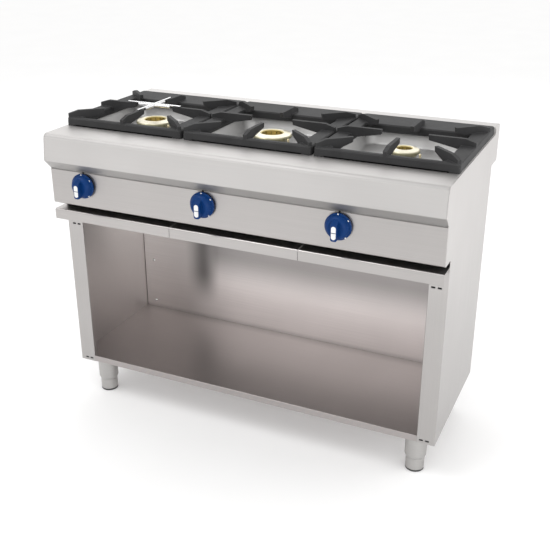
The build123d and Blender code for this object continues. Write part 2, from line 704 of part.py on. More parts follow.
# Knobs: a turned skirt and dome with a grip bar across, ramped at its upper end, and a pale insert
for i, side in enumerate(NAMES):
    centre = (knob_x(i), row(KNOB_BACK), KNOB_Z)
    front = Plane(origin=centre, x_dir=(1, 0, 0), z_dir=(0, -1, 0))
    across = Plane(origin=centre, x_dir=(0, 0, 1), z_dir=(1, 0, 0))
    ramp_foot = DOME_TOP - BAR_SINK
    with BuildPart() as knob:
        with BuildSketch(across):
            with BuildLine():
                FilletPolyline((0, DOME_TOP), (0, 0), (SKIRT_R, 0), (SKIRT_R, SKIRT_T), (DOME_R, SKIRT_T),
                               radius=[0, 0, SKIRT_EDGE])
                SagittaArc((DOME_R, SKIRT_T), (DOME_TOP_R, DOME_TOP), -DOME_BULGE)
                Line((DOME_TOP_R, DOME_TOP), (0, DOME_TOP))
            make_face()
        revolve(axis=Axis(centre, (0, 1, 0)))
        with BuildSketch(front.offset(SKIRT_T)):
            with Locations((0, (BAR_HIGH - BAR_LOW) / 2)):
                RectangleRounded(BAR_W, BAR_LOW + BAR_HIGH, BAR_CORNER)
        extrude(amount=BAR_FRONT - SKIRT_T)
        with BuildSketch(across):
            with BuildLine():
                Polyline((BAR_FLAT, BAR_FRONT + SHEET), (BAR_FLAT, BAR_FRONT), (BAR_HIGH, ramp_foot),
                         (SKIRT_R, ramp_foot), (SKIRT_R, BAR_FRONT + SHEET), close=True)
            make_face()
        extrude(amount=BAR_W, both=True, mode=Mode.SUBTRACT)
        fillet(knob.faces().sort_by(Axis.Y)[0].edges(), BAR_EDGE)
        with BuildSketch(front):
            Circle(SPINDLE_R + SHAFT_FIT)
        extrude(amount=SPINDLE_IN + REST_GAP, mode=Mode.SUBTRACT)
        with BuildSketch(front.offset(BAR_FRONT - INSERT_SUNK)):
            with Locations((0, INSERT_Z)):
                SlotOverall(INSERT_L, INSERT_W, rotation=90)
        extrude(amount=INSERT_SUNK + SHEET, mode=Mode.SUBTRACT)
    knob.part.label = f"{side}_knob"
    export_step(knob.part, f"parts/{side}_knob.step")

    with BuildPart() as insert:
        with BuildSketch(front.offset(BAR_FRONT - INSERT_SUNK)):
            with Locations((0, INSERT_Z)):
                SlotOverall(INSERT_L - 2 * INSERT_FIT, INSERT_W - 2 * INSERT_FIT, rotation=90)
                Rectangle(INSERT_W, INSERT_SPLIT, mode=Mode.SUBTRACT)
        extrude(amount=INSERT_SUNK + INSERT_PROUD)
    insert.part.label = f"{side}_knob_insert"
    export_step(insert.part, f"parts/{side}_knob_insert.step")

# Supply tubes: up from each tap and over to its burner's injector
for i, side in enumerate(NAMES):
    x = burner_x(i)
    tube_points = [
        (knob_x(i), row(TAP_OUTLET_Y), KNOB_Z + TAP_OUTLET_H),
        (knob_x(i), row(TAP_OUTLET_Y), VENTURI_Z),
        (x, row(TAP_OUTLET_Y + TUBE_LEAD), VENTURI_Z),
        (x, row(INJECTOR_Y), VENTURI_Z),
    ]
    with BuildPart() as tube:
        with BuildLine() as tube_run:
            FilletPolyline(*tube_points, radius=[TUBE_RISE_BEND, TUBE_SIDE_BEND])
        with BuildSketch(Plane(origin=tube_points[0], z_dir=(0, 0, 1))):
            Circle(TUBE_R)
        sweep(path=tube_run.wires()[0])
    tube.part.label = f"{side}_supply_tube"
    export_step(tube.part, f"parts/{side}_supply_tube.step")

# Injectors: a hexagon and a nozzle pointing into each burner's mixing tube
with BuildPart() as injectors:
    for i in range(BURNERS):
        x = burner_x(i)
        with BuildSketch(Plane(origin=(x, row(INJECTOR_Y), VENTURI_Z), x_dir=(1, 0, 0), z_dir=(0, 1, 0))):
            RegularPolygon(INJECTOR_R, 6)
        extrude(amount=INJECTOR_HEX_L)
        extrude(disc(x, VENTURI_Z, NOZZLE_R, INJECTOR_Y), amount=INJECTOR_L + NOZZLE_REACH)
injectors.part.label = "injectors"
export_step(injectors.part, "parts/injectors.step")

# Burners: a cast body through the well's floor, a ported crown on its cup and a thermocouple beside it
seat_z = CUP_TOP_Z + REST_GAP
for i, side in enumerate(NAMES):
    x = burner_x(i)
    crown_r = CROWN_R[i]
    hole_r = CROWN_HOLE_R[i]
    cup_r = crown_r - CUP_STEP
    cup_bore = cup_r - CUP_WALL
    neck_r = crown_r * NECK_RATIO
    neck_bore = neck_r - NECK_WALL
    core_r = hole_r - CORE_STEP
    flange_r = crown_r - CUP_FLANGE_STEP
    cup_floor = WELL_FLOOR_Z + CUP_FLANGE_T
    bowl_floor = BOWL_Z + BOWL_FLOOR
    tube_end = BURNER_Y - neck_bore
    with BuildPart() as body:
        revolve(half_section(x, BURNER_Y, [
            (0, BOWL_Z), (neck_r - BOWL_EDGE, BOWL_Z), (neck_r, BOWL_Z + BOWL_EDGE), (neck_r, WELL_FLOOR_Z),
            (flange_r, WELL_FLOOR_Z), (flange_r, cup_floor), (cup_r, cup_floor), (cup_r, CUP_TOP_Z),
            (cup_bore, CUP_TOP_Z), (cup_bore, cup_floor + REST_GAP), (neck_bore, cup_floor + REST_GAP),
            (neck_bore, bowl_floor), (hole_r / 3, bowl_floor),
            (hole_r / 3, CUP_TOP_Z - CORE_STEP), (core_r, CUP_TOP_Z - CORE_STEP / 2), (core_r, CUP_TOP_Z),
            (core_r - CORE_EDGE, CUP_TOP_Z + CORE_EDGE), (0, CUP_TOP_Z + CORE_EDGE),
        ]), axis=upright(x, BURNER_Y))
        extrude(disc(x, VENTURI_Z, VENTURI_R, VENTURI_Y), amount=tube_end + SHEET - VENTURI_Y)
        extrude(disc(x, VENTURI_Z, VENTURI_R + VENTURI_FLANGE, VENTURI_Y), amount=VENTURI_FLANGE_T)
        extrude(disc(x, VENTURI_Z, VENTURI_BORE_R, VENTURI_Y), amount=tube_end + 2 * SHEET - VENTURI_Y,
                mode=Mode.SUBTRACT)
    body.part.label = f"{side}_burner_body"
    export_step(body.part, f"parts/{side}_burner_body.step")

    spigot_r = cup_bore - SPIGOT_GAP
    edge_z = CROWN_TOP_Z - CROWN_FALL - CROWN_ROUND
    with BuildPart() as crown:
        revolve(half_section(x, BURNER_Y, [
            (hole_r, CUP_TOP_Z - CROWN_SPIGOT), (spigot_r, CUP_TOP_Z - CROWN_SPIGOT), (spigot_r, seat_z),
            (cup_r, seat_z), (crown_r, edge_z - CROWN_EDGE), (crown_r, edge_z),
            (crown_r - CROWN_ROUND, CROWN_TOP_Z - CROWN_FALL), (hole_r + CROWN_LAND, CROWN_TOP_Z),
            (hole_r, CROWN_TOP_Z - CROWN_ROUND),
        ]), axis=upright(x, BURNER_Y))
        with Locations((x, row(BURNER_Y), edge_z - CROWN_EDGE)):
            with PolarLocations(crown_r, PORTS):
                Box(2 * PORT_DEPTH, PORT_W, PORT_H, mode=Mode.SUBTRACT)
        with Locations((x, row(BURNER_Y), CROWN_TOP_Z - INNER_SLOT_H)):
            with PolarLocations(hole_r, INNER_SLOTS):
                Box(2 * PORT_DEPTH, INNER_SLOT_W, INNER_SLOT_H, mode=Mode.SUBTRACT)
    crown.part.label = f"{side}_burner_crown"
    export_step(crown.part, f"parts/{side}_burner_crown.step")

    probe_d = crown_r + PROBE_GAP
    probe_x = x + probe_d * cos(radians(PROBE_ANGLE))
    probe_y = BURNER_Y + probe_d * sin(radians(PROBE_ANGLE))
    probe_top = WELL_FLOOR_Z + PROBE_H
    with BuildPart() as thermocouple:
        revolve(half_section(probe_x, probe_y, [
            (0, WELL_FLOOR_Z - PROBE_TAIL), (PROBE_R, WELL_FLOOR_Z - PROBE_TAIL), (PROBE_R, WELL_FLOOR_Z),
            (PROBE_NUT_R, WELL_FLOOR_Z), (PROBE_NUT_R, WELL_FLOOR_Z + PROBE_NUT_H),
            (PROBE_R, WELL_FLOOR_Z + PROBE_NUT_H + PROBE_TIP), (PROBE_R, probe_top - PROBE_TIP),
            (PROBE_R / 2, probe_top), (0, probe_top),
        ]), axis=upright(probe_x, probe_y))
    thermocouple.part.label = f"{side}_thermocouple"
    export_step(thermocouple.part, f"parts/{side}_thermocouple.step")

# Pan supports: a cast frame on four pads, hollow underneath, with eight fingers round its opening
grate_mid = row((GRATE_Y0 + GRATE_Y1) / 2)
opening_w = 2 * (GRATE_HALF - RIM_SIDE)
opening_d = GRATE_BACK - GRATE_Y0 - RIM_FRONT
opening_y = row((GRATE_Y0 + RIM_FRONT + GRATE_BACK) / 2)
front_end = BURNER_Y - GRATE_Y0
rear_end = GRATE_BACK + REAR_SEAT - BURNER_Y
pad_reach = PAD_SIZE + 2 * PAD_INSET
for i, side in enumerate(NAMES):
    x = burner_x(i)
    with BuildPart() as grate:
        with BuildSketch(Plane.XY.offset(RIM_UNDER_Z)):
            with Locations((x, grate_mid)):
                RectangleRounded(2 * GRATE_HALF, GRATE_D, GRATE_CORNER)
            with Locations((x, opening_y)):
                RectangleRounded(opening_w, opening_d, OPENING_CORNER, mode=Mode.SUBTRACT)
        extrude(amount=RIM_T)
        chamfer(grate.faces().sort_by(Axis.Z)[-1].edges(), RIM_EDGE)
        with BuildSketch(Plane.XY.offset(RIM_UNDER_Z)):
            with Locations((x, row(GRATE_BACK + RIM_REAR / 2))):
                Rectangle(2 * (GRATE_HALF - POCKET_WALL), RIM_REAR - 2 * POCKET_WALL)
            with Locations((x, row((GRATE_Y0 + GRATE_BACK) / 2))):
                with GridLocations(2 * GRATE_HALF - RIM_SIDE, 0, 2, 1):
                    Rectangle(RIM_SIDE - 2 * POCKET_WALL, GRATE_BACK - GRATE_Y0 - 2 * POCKET_END)
        extrude(amount=POCKET_DEPTH, mode=Mode.SUBTRACT)
        with BuildSketch(Plane.XY.offset(WORKTOP_Z + REST_GAP)):
            with Locations((x, grate_mid)):
                with GridLocations(2 * GRATE_HALF - pad_reach, GRATE_D - pad_reach, 2, 2):
                    RectangleRounded(PAD_SIZE, PAD_SIZE, PAD_CORNER)
        extrude(amount=ROOT_Z - WORKTOP_Z - REST_GAP)
        views = [
            finger(x, (0, -front_end), (0, -TIP_MID), RIM_FRONT + FINGER_ROOT),
            finger(x, (0, rear_end), (0, TIP_MID), REAR_SEAT + FINGER_ROOT),
        ]
        for s in (-1, 1):
            corner_x = s * (GRATE_HALF - CORNER_IN)
            tip_x = s * TIP_CORNER[0]
            views.append(finger(x, (s * GRATE_HALF, 0), (s * TIP_MID, 0), RIM_SIDE + FINGER_ROOT))
            views.append(finger(x, (corner_x, CORNER_IN - front_end), (tip_x, -TIP_CORNER[1]), CORNER_ROOT))
            views.append(finger(x, (corner_x, rear_end - CORNER_IN), (tip_x, TIP_CORNER[1]), CORNER_ROOT))
        for view in views:
            extrude(view, amount=FINGER_T / 2, both=True)
    grate.part.label = f"{side}_grate"
    export_step(grate.part, f"parts/{side}_grate.step")

# Reducer cross: two round bars whose thin ends lie on the middle fingers of the left support
end_z = FINGER_TOP_Z + REST_GAP + CROSS_END_R
with BuildPart() as cross:
    for direction in ((1, 0, 0), (0, 1, 0)):
        with BuildSketch(Plane(origin=(burner_x(0), row(BURNER_Y), end_z - CROSS_DROP), z_dir=direction)):
            Circle(CROSS_R)
        extrude(amount=CROSS_MIDDLE, both=True)
        with BuildSketch(Plane(origin=(burner_x(0), row(BURNER_Y), end_z), z_dir=direction)):
            Circle(CROSS_END_R)
        extrude(amount=CROSS_ARM, both=True)
cross.part.label = "reducer_cross"
export_step(cross.part, "parts/reducer_cross.step")

# Drip trays: a pan, and before it a front folded over as a grip whose hem stops against the posts
front_path = [
    (row(PANEL_SETBACK), TRAY_Z),
    (row(PANEL_SETBACK), TRAY_TOP_Z),
    (row(GRIP_BACK), TRAY_TOP_Z),
    (row(GRIP_BACK), TRAY_TOP_Z - HEM_H),
]
pan_front = GRIP_BACK - TRAY_SHEET
pan_mid = row((pan_front + PAN_END_Y) / 2)
for i, side in enumerate(NAMES):
    x = burner_x(i)
    left = -HALF if i == 0 else x - PITCH / 2 + TRAY_SEAM / 2
    right = HALF if i == BURNERS - 1 else x + PITCH / 2 - TRAY_SEAM / 2
    pan_left = -PAN_OUTER if i == 0 else x - PAN_HALF
    pan_right = PAN_OUTER if i == BURNERS - 1 else x + PAN_HALF
    with BuildPart() as tray:
        with BuildSketch(Plane.XY.offset(PAN_FLOOR_Z)):
            with Locations(((pan_left + pan_right) / 2, pan_mid)):
                RectangleRounded(pan_right - pan_left, PAN_END_Y - pan_front, PAN_CORNER)
        extrude(amount=PAN_WALL)
        offset(amount=-TRAY_SHEET, openings=tray.faces().sort_by(Axis.Z)[-1])
        extrude(bent(Plane.YZ.offset(left), front_path, [TRAY_BEND, FOLD_RADIUS], TRAY_SHEET),
                amount=right - left)
    tray.part.label = f"{side}_drip_tray"
    export_step(tray.part, f"parts/{side}_drip_tray.step")

# Tray rack: cross plates front and rear, guided T runners between the trays and shelves at the sides
rack_depth = RACK_END_Y - RACK_FRONT_Y
rack_front = Plane(origin=(0, row(RACK_FRONT_Y), 0), x_dir=(-1, 0, 0), z_dir=(0, 1, 0))
shelf_outline = [
    (PAN_OUTER - SHELF_IN, row(RACK_FRONT_Y)),
    (POST_X, row(RACK_FRONT_Y)),
    (POST_X, row(POST_SETBACK + POST_LIP + SHELF_NOTCH)),
    (INSIDE, row(POST_SETBACK + POST_LIP + SHELF_NOTCH)),
    (INSIDE, row(RACK_END_Y)),
    (PAN_OUTER - SHELF_IN, row(RACK_END_Y)),
]
with BuildPart() as rack:
    with BuildSketch(Plane.XY.offset(RACK_Z)) as shelves:
        with BuildLine():
            Polyline(*shelf_outline, close=True)
        make_face()
        mirror(about=Plane.YZ)
    extrude(amount=RACK_SHEET)
    extrude(oblong(rack_front, -POST_X, POST_X, RACK_Z - RACK_DROP, RACK_Z), amount=RACK_SHEET)
    extrude(oblong(rack_front.offset(rack_depth - RACK_SHEET), -INSIDE, INSIDE, RACK_Z - RACK_DROP, RACK_Z),
            amount=RACK_SHEET)
    for i in range(BURNERS - 1):
        x = -(burner_x(i) + burner_x(i + 1)) / 2
        extrude(oblong(rack_front, x - RACK_SHEET / 2, x + RACK_SHEET / 2, RACK_Z - RACK_DROP, RACK_Z),
                amount=rack_depth)
        extrude(oblong(rack_front, x - RUNNER_HALF, x + RUNNER_HALF, RACK_Z, RACK_TOP_Z), amount=rack_depth)
        extrude(oblong(rack_front.offset(GUIDE_LEAD), x - GUIDE_HALF, x + GUIDE_HALF, RACK_TOP_Z,
                       RACK_TOP_Z + GUIDE_H), amount=rack_depth - GUIDE_LEAD)
rack.part.label = "tray_rack"
export_step(rack.part, "parts/tray_rack.step")
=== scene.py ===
"""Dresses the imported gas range: materials on its CAD nodes, small added pieces, floor, light and camera.

Lengths are in metres in the CAD's frame: X to the right, Y to the back and Z up from the floor.
"""
import math

import bmesh
import bpy
from mathutils import Matrix, Vector


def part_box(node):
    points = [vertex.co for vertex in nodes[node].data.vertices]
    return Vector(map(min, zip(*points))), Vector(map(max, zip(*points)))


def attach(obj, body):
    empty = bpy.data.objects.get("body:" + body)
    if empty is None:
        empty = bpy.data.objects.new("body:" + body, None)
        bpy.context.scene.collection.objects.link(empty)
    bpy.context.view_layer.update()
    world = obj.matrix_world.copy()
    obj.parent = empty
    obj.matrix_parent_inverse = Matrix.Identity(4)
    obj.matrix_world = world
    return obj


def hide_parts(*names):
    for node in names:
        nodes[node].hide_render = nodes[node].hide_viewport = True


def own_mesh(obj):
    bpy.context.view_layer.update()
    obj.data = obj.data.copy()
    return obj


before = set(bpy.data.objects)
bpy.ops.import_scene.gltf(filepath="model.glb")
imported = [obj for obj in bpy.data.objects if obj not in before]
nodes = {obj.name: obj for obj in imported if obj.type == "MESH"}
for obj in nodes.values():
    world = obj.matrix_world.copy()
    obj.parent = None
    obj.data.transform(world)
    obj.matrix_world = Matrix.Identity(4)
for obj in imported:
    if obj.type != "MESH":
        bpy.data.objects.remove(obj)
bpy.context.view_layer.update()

# Names of places: the three burners, the two ends with their direction along X, heights and legs
SIDES = ("left", "middle", "right")
ENDS = (("left", -1), ("right", 1))
LEVELS = ("lower", "upper")
LEGS = [f"{end}_{side}" for end in ("front", "rear") for side, sign in ENDS]

# Faces and axes of the frame that looks and pieces are placed by
PANEL_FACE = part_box("control_panel")[0][1]
LIP_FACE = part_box("cabinet_floor")[0][1]
BACK_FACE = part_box("back_panel")[0][1]
BACK_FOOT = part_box("back_panel")[0][2]
CROWN_LOW, CROWN_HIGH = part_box("right_burner_crown")
BURNER_PITCH = (CROWN_LOW[0] + CROWN_HIGH[0]) / 2
BURNER_DEPTH = (CROWN_LOW[1] + CROWN_HIGH[1]) / 2

# The photograph's camera
IMAGE_SIDE = 550
FOCAL_PX = 849.0
SENSOR = 36.0
CAMERA_AT = Vector((0.93553, -2.01765, 1.40850))
CAMERA_AIM = Vector((0.01969, -0.0185, 0.46659))
SHIFT_Y = -0.0242

# Shader nodes: the noise's usual span, the bevel's samples, the cosines of an edge and a colour mix's sockets
NOISE_SPAN = (0.3, 0.7)
BEVEL_SAMPLES = 4
EDGE_COSINES = (0.75, 0.98)
MIX_FIRST = 6
MIX_SECOND = 7
MIX_RESULT = 2

# Brushed sheet: how its grain is squeezed along each axis
GRAIN = {"x": (3, 700, 700), "y": (700, 3, 700), "z": (700, 700, 3)}

# Painted shade on the sheets' colours: (axis, start, end, level), with the level at the start and one at the
# end; darker to the right on the fronts, on the chamfer, low on the sides, at the floor's lip and in its fold
# at the back
FRONT_SHADE = ("X", 0.55, -0.15, 0.90)
CHAMFER_SHADE = ("Z", 0.757, 0.760, 0.74)
SIDE_SHADE = ("Z", 0.5, 0.8, 0.83)
SIDE_LOW_SHADE = ("Z", 0.1, 0.5, 0.917)
LIP_SHADE = ("Y", LIP_FACE + 0.0018, LIP_FACE + 0.0030, 0.74)
FOLD_SHADE = ("Y", BACK_FACE, BACK_FACE - 0.035, 0.80)

# Painted light and shade on the back's inner face: its lift in brightness, the painted shade band under the
# trays, the painted shade streak and the painted shade in the fold at its foot
FACE_Y = (BACK_FACE + 0.0010, BACK_FACE + 0.0003)
PAINTED_LIGHT_LEVEL = 1.56
BAND_Z = (0.25, 0.375)
BAND_X = (-0.33, -0.27)
BAND_LEVEL = 0.385
SHADE_STREAK_Z = (0.17, 0.30)
SHADE_STREAK_X = (-0.395, -0.325, -0.26)
SHADE_STREAK_LEVEL = 0.29
FOLD_Z = (BACK_FOOT + 0.016, BACK_FOOT)
FOLD_LEVEL = 0.84

# Painted shade along a stretch of the worktop's rounded nose that damps its highlight, by depth and height
NOSE_Y = (-0.235, -0.245)
NOSE_LOW = (0.8210, 0.8260)
NOSE_HIGH = (0.8308, 0.8285)
NOSE_SHADE_LEVEL = 0.78

# Burners: a crown's bright ring, painted shade on the walls below it and in its bore, and the bare core of a
# body
RING_BRASS = (0.92, 0.87, 0.72)
WALL_SHADE_BRASS = (0.36, 0.34, 0.23)
WALL_Z = (CROWN_HIGH[2] - 0.0035, CROWN_HIGH[2] - 0.0060)
BORE_SHADE_BRASS = (0.60, 0.51, 0.24)
BORE_R = {"left": 0.0314, "middle": 0.0314, "right": 0.0219}
BORE_EDGE = 0.0005
CORE_BRASS = (0.74, 0.60, 0.28)
CORE_R = (0.030, 0.031)

# Feet: the heights between which the dark ring at the bottom ends
FOOT_RING_Z = (0.0056, 0.0060)

# Domes and plates: their divisions, and a plate's bevel as a share of its least side
DOME_RINGS = 4
DOME_SIDES = 24
PLATE_BEVEL = 0.25
PLATE_BEVEL_STEPS = 2

# Printed dots on the knobs' skirts, by the hour on a clock face, and on the panel above each knob
DOT_R = 0.0022
DOT_RISE = 0.0003
SKIRT_DOT_R = 0.0318
SKIRT_DOT_HOURS = (12.0, 1.8, 4.7)
SKIRT_THICK = 0.006
DEGREES_AN_HOUR = 30
INDEX_R = 0.0028
INDEX_Z = 0.7305

# Dark plates behind the hinge slots of the posts, as painted shade seen through the slots
HINGE_PLATE = (0.034, 0.0015, 0.012)
HINGE_X = 0.522
HINGE_HEIGHTS = (0.121, 0.556)
POST_BACK = 0.0525

# Painted shadow: a black strip along the foot of each pan support's front bar that stands in for the shaded
# gap under it, between its pads and a hair proud of the bar
GAP_SHADOW_END = 0.026
GAP_SHADOW_PROUD = 0.0002
GAP_SHADOW_DEPTH = 0.008
GAP_SHADOW_LOW = 0.0004
GAP_SHADOW_HIGH = 0.0046

# Dark strip in the seam between two trays' fronts, as painted shade in the gap, fixed to the outer tray
SEAM = (0.0012, 0.0026, 0.023)
SEAM_SETBACK = 0.0004
SEAM_LAP = 0.0002
SEAM_RISE = 0.001

# Bright plugs in the unused shelf holes of the back
PLUG_R = 0.0048
PLUG_RISE = 0.0028
PLUG_X = 0.5136
PLUG_HEIGHTS = (0.024, 0.170)

# Return springs of the taps, pressed together by the knobs' push
WIRE_R = 0.00075
WIRE_SIDES = 8
TURNS = 6
STEPS_A_TURN = 24
END_TURN = 0.5

# Floor and world
FLOOR_HALF = 40.0
FLOOR_LIFT = 0.12
WORLD_COLOR = (1.0, 0.997, 0.994)
WORLD_LIGHT = 0.95


class Shader:
    """Builds one procedural material around a principled shader."""

    def __init__(self, name, color, rough, metallic=0.0):
        self.mat = bpy.data.materials.new(name)
        self.mat.use_nodes = True
        self.tree = self.mat.node_tree
        self.bsdf = self.tree.nodes["Principled BSDF"]
        self.color = color
        self.skin = None
        self.bsdf.inputs["Base Color"].default_value = (*color, 1)
        self.bsdf.inputs["Roughness"].default_value = rough
        self.bsdf.inputs["Metallic"].default_value = metallic
        self.place = self.add("ShaderNodeTexCoord").outputs["Object"]

    def add(self, kind, **settings):
        """A new node with some of its settings."""
        node = self.tree.nodes.new(kind)
        for key, value in settings.items():
            setattr(node, key, value)
        return node

    def link(self, source, target):
        """Joins two sockets."""
        self.tree.links.new(source, target)

    def noise(self, scale, detail=3.0, stretch=(1, 1, 1)):
        """Noise in the piece's own frame; stretch squeezes it along each axis."""
        mapping = self.add("ShaderNodeMapping")
        mapping.inputs["Scale"].default_value = stretch
        texture = self.add("ShaderNodeTexNoise")
        texture.inputs["Scale"].default_value = scale
        texture.inputs["Detail"].default_value = detail
        self.link(self.place, mapping.inputs["Vector"])
        self.link(mapping.outputs["Vector"], texture.inputs["Vector"])
        return texture.outputs["Fac"]

    def spread(self, value, low, high, start=NOISE_SPAN[0], end=NOISE_SPAN[1]):
        """Maps a value between a start and an end onto the range from low to high."""
        node = self.add("ShaderNodeMapRange")
        for key, number in (("From Min", start), ("From Max", end), ("To Min", low), ("To Max", high)):
            node.inputs[key].default_value = number
        self.link(value, node.inputs["Value"])
        return node.outputs["Result"]

    def ease(self, value, start, end):
        """Zero before the start, one after the end and a smooth step between them."""
        node = self.add("ShaderNodeMapRange", interpolation_type="SMOOTHSTEP")
        node.inputs["From Min"].default_value = start
        node.inputs["From Max"].default_value = end
        self.link(value, node.inputs["Value"])
        return node.outputs["Result"]

    def shade(self, mask, level):
        """One where a mask is zero, and the level where it is one."""
        return self.spread(mask, 1.0, level, 0.0, 1.0)

    def times(self, a, b):
        """The product of two values."""
        node = self.add("ShaderNodeMath", operation="MULTIPLY")
        self.link(a, node.inputs[0])
        self.link(b, node.inputs[1])
        return node.outputs[0]

    def axis(self, name):
        """The place along one axis of the piece's own frame."""
        node = self.add("ShaderNodeSeparateXYZ")
        self.link(self.place, node.inputs[0])
        return node.outputs[name]

    def from_burner(self):
        """Distance to the upright axis of the nearest burner; the middle one is at X zero."""
        wrapped = self.add("ShaderNodeMath", operation="WRAP")
        self.link(self.axis("X"), wrapped.inputs[0])
        wrapped.inputs[1].default_value = BURNER_PITCH / 2
        wrapped.inputs[2].default_value = -BURNER_PITCH / 2
        across = self.add("ShaderNodeMath", operation="SUBTRACT")
        self.link(self.axis("Y"), across.inputs[0])
        across.inputs[1].default_value = BURNER_DEPTH
        flat = self.add("ShaderNodeCombineXYZ")
        self.link(wrapped.outputs[0], flat.inputs["X"])
        self.link(across.outputs[0], flat.inputs["Y"])
        length = self.add("ShaderNodeVectorMath", operation="LENGTH")
        self.link(flat.outputs[0], length.inputs[0])
        return length.outputs["Value"]

    def paint(self, socket):
        """Makes a socket the base colour."""
        self.skin = socket
        self.link(socket, self.bsdf.inputs["Base Color"])

    def tone(self, *factors):
        """Scales the material's colour by the product of some factors."""
        factor = factors[0]
        for other in factors[1:]:
            factor = self.times(factor, other)
        scale = self.add("ShaderNodeVectorMath", operation="SCALE")
        scale.inputs[0].default_value = self.color
        self.link(factor, scale.inputs["Scale"])
        self.paint(scale.outputs[0])

    def blend(self, mask, color):
        """Goes over from the toned colour to another one by a mask."""
        node = self.add("ShaderNodeMix", data_type="RGBA")
        self.link(mask, node.inputs["Factor"])
        self.link(self.skin, node.inputs[MIX_FIRST])
        node.inputs[MIX_SECOND].default_value = (*color, 1)
        self.paint(node.outputs[MIX_RESULT])

    def softened(self, radius):
        """Normals rounded over the edges within a radius."""
        bevel = self.add("ShaderNodeBevel", samples=BEVEL_SAMPLES)
        bevel.inputs["Radius"].default_value = radius
        return bevel.outputs["Normal"]

    def edges(self, radius):
        """One along sharp edges, zero on the flats, within a radius."""
        dot = self.add("ShaderNodeVectorMath", operation="DOT_PRODUCT")
        self.link(self.softened(radius), dot.inputs[0])
        self.link(self.add("ShaderNodeNewGeometry").outputs["True Normal"], dot.inputs[1])
        return self.spread(dot.outputs["Value"], 1.0, 0.0, *EDGE_COSINES)

    def glint(self, level):
        """How strongly a surface that isn't metal reflects."""
        self.bsdf.inputs["Specular IOR Level"].default_value = level

    def rough(self, value):
        """Roughness from a value."""
        self.link(value, self.bsdf.inputs["Roughness"])

    def relief(self, height, strength, distance, edge):
        """Bump from a height, over edges softened by a radius, or left sharp at zero."""
        bump = self.add("ShaderNodeBump")
        bump.inputs["Strength"].default_value = strength
        bump.inputs["Distance"].default_value = distance
        self.link(height, bump.inputs["Height"])
        if edge:
            self.link(self.softened(edge), bump.inputs["Normal"])
        self.link(bump.outputs["Normal"], self.bsdf.inputs["Normal"])


def brushed(name, color, grain, rough=(0.30, 0.42), edge=0.0012, fades=(), tones=None):
    """Brushed stainless sheet: fine streaks along one axis over a faint large mottle.

    Each fade scales the colour along an axis as painted shade, and tones is a function that gives more
    factors of painted light and shade.
    """
    steel = Shader(name, color, sum(rough) / 2, metallic=1.0)
    streaks = steel.noise(scale=1.0, detail=2.0, stretch=GRAIN[grain])
    mottle = steel.noise(scale=5.0, detail=2.0)
    factors = [steel.spread(streaks, 0.96, 1.03), steel.spread(mottle, 0.975, 1.02)]
    for axis, start, end, level in fades:
        factors.append(steel.spread(steel.axis(axis), level, 1.0, start, end))
    if tones:
        factors += tones(steel)
    steel.tone(*factors)
    steel.rough(steel.spread(streaks, *rough))
    steel.relief(streaks, strength=0.05, distance=0.0001, edge=edge)
    return steel.mat


def back_painted_light(steel):
    """Factors on the cabinet back's inner face: painted light lifting it, and painted shade under the trays,
    in a soft streak and along its foot.
    """
    across, depth, height = (steel.axis(axis) for axis in "XYZ")
    face = steel.ease(depth, *FACE_Y)
    band = steel.times(steel.ease(height, *BAND_Z), steel.ease(across, *BAND_X))
    left, middle, right = SHADE_STREAK_X
    peak = steel.times(steel.ease(across, left, middle), steel.ease(across, right, middle))
    streak = steel.times(steel.ease(height, *SHADE_STREAK_Z), peak)
    fold = steel.ease(height, *FOLD_Z)
    factors = [steel.shade(face, PAINTED_LIGHT_LEVEL)]
    for mask, level in ((band, BAND_LEVEL), (streak, SHADE_STREAK_LEVEL), (fold, FOLD_LEVEL)):
        factors.append(steel.shade(steel.times(face, mask), level))
    return factors


def nose_painted_shade(steel):
    """Factor of painted shade that damps the highlight along the worktop's nose."""
    height = steel.axis("Z")
    bend = steel.times(steel.ease(height, *NOSE_LOW), steel.ease(height, *NOSE_HIGH))
    front = steel.ease(steel.axis("Y"), *NOSE_Y)
    return [steel.shade(steel.times(front, bend), NOSE_SHADE_LEVEL)]


def cast_iron():
    """Matt enamelled casting: grainy skin, lighter along its edges, partly as rubbed wear and partly as a
    painted highlight.
    """
    iron = Shader("cast_iron", (0.030, 0.030, 0.031), 0.6)
    grain = iron.noise(scale=700.0, detail=4.0)
    cloud = iron.noise(scale=18.0)
    iron.tone(iron.spread(grain, 0.85, 1.15), iron.spread(cloud, 0.85, 1.15))
    # Lighter edges: partly wear, partly a painted highlight
    worn_and_highlit = iron.times(iron.edges(radius=0.0016), iron.spread(cloud, 0.3, 0.8))
    iron.blend(worn_and_highlit, (0.16, 0.16, 0.16))
    iron.glint(0.3)
    iron.rough(iron.spread(grain, 0.55, 0.75))
    iron.relief(grain, strength=0.25, distance=0.0003, edge=0.0015)
    return iron.mat


def casting(name, color, rough):
    """Shader of a cast metal with a fine grain and broad stains."""
    metal = Shader(name, color, sum(rough) / 2, metallic=1.0)
    grain = metal.noise(scale=260.0)
    stain = metal.noise(scale=45.0)
    metal.tone(metal.spread(grain, 0.94, 1.05), metal.spread(stain, 0.85, 1.06))
    metal.rough(metal.spread(stain, *rough))
    metal.relief(grain, strength=0.08, distance=0.0001, edge=0.0008)
    return metal


def brass(name, color):
    """Plain cast brass."""
    return casting(name, color, (0.22, 0.36)).mat


def crown_brass(side):
    """A burner crown's brass: bright on its ring, with painted shade on the walls below and in its bore."""
    metal = casting(f"{side}_crown_brass", RING_BRASS, (0.38, 0.5))
    metal.blend(metal.ease(metal.axis("Z"), *WALL_Z), WALL_SHADE_BRASS)
    bore = metal.ease(metal.from_burner(), BORE_R[side] + BORE_EDGE, BORE_R[side] - BORE_EDGE)
    metal.blend(bore, BORE_SHADE_BRASS)
    return metal.mat


